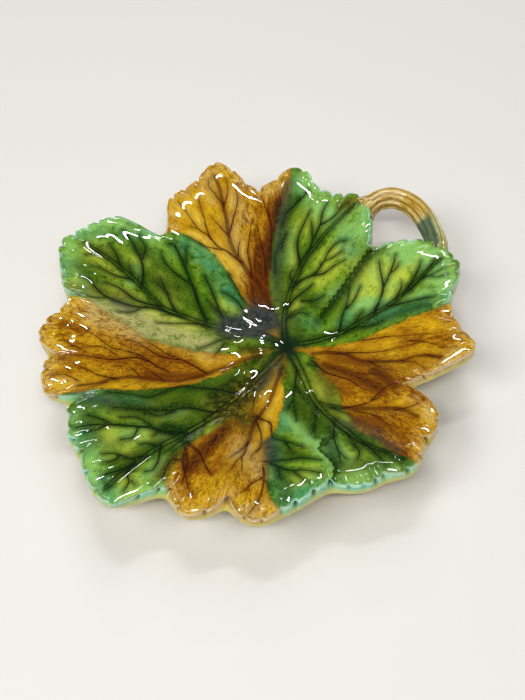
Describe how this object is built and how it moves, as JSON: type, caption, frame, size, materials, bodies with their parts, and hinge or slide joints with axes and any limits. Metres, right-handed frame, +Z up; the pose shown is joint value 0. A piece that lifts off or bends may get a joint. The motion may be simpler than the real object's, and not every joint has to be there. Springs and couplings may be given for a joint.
{
  "type": "leaf dish",
  "caption": "Shallow serving dish shaped as a lobed, toothed leaf with raised veins, on a foot ring, with a fluted stem loop as its handle.",
  "frame": {"origin": "middle of the bounding box, at the resting face of the foot ring", "axes": "+Z up out of the bowl; +Y away from the viewer of the picture; +X to the picture's right, so the stem handle is towards +X and +Y"},
  "size_m": [0.2224, 0.2264, 0.038],
  "materials": {
    "leaf_glaze": "glossy lead glaze over earthenware: green lobes and amber lobes by turns, dark veins, pale rim",
    "stem_glaze": "glossy amber and olive glaze",
    "foot_clay": "thin pale yellow glaze, wiped off the resting edge"
  },
  "bodies": {
    "root": {"leaf_dish": "leaf_glaze", "stem_handle": "stem_glaze", "tip_luting": "stem_glaze", "root_luting": "stem_glaze", "foot_ring": "foot_clay"}
  },
  "joints": []
}
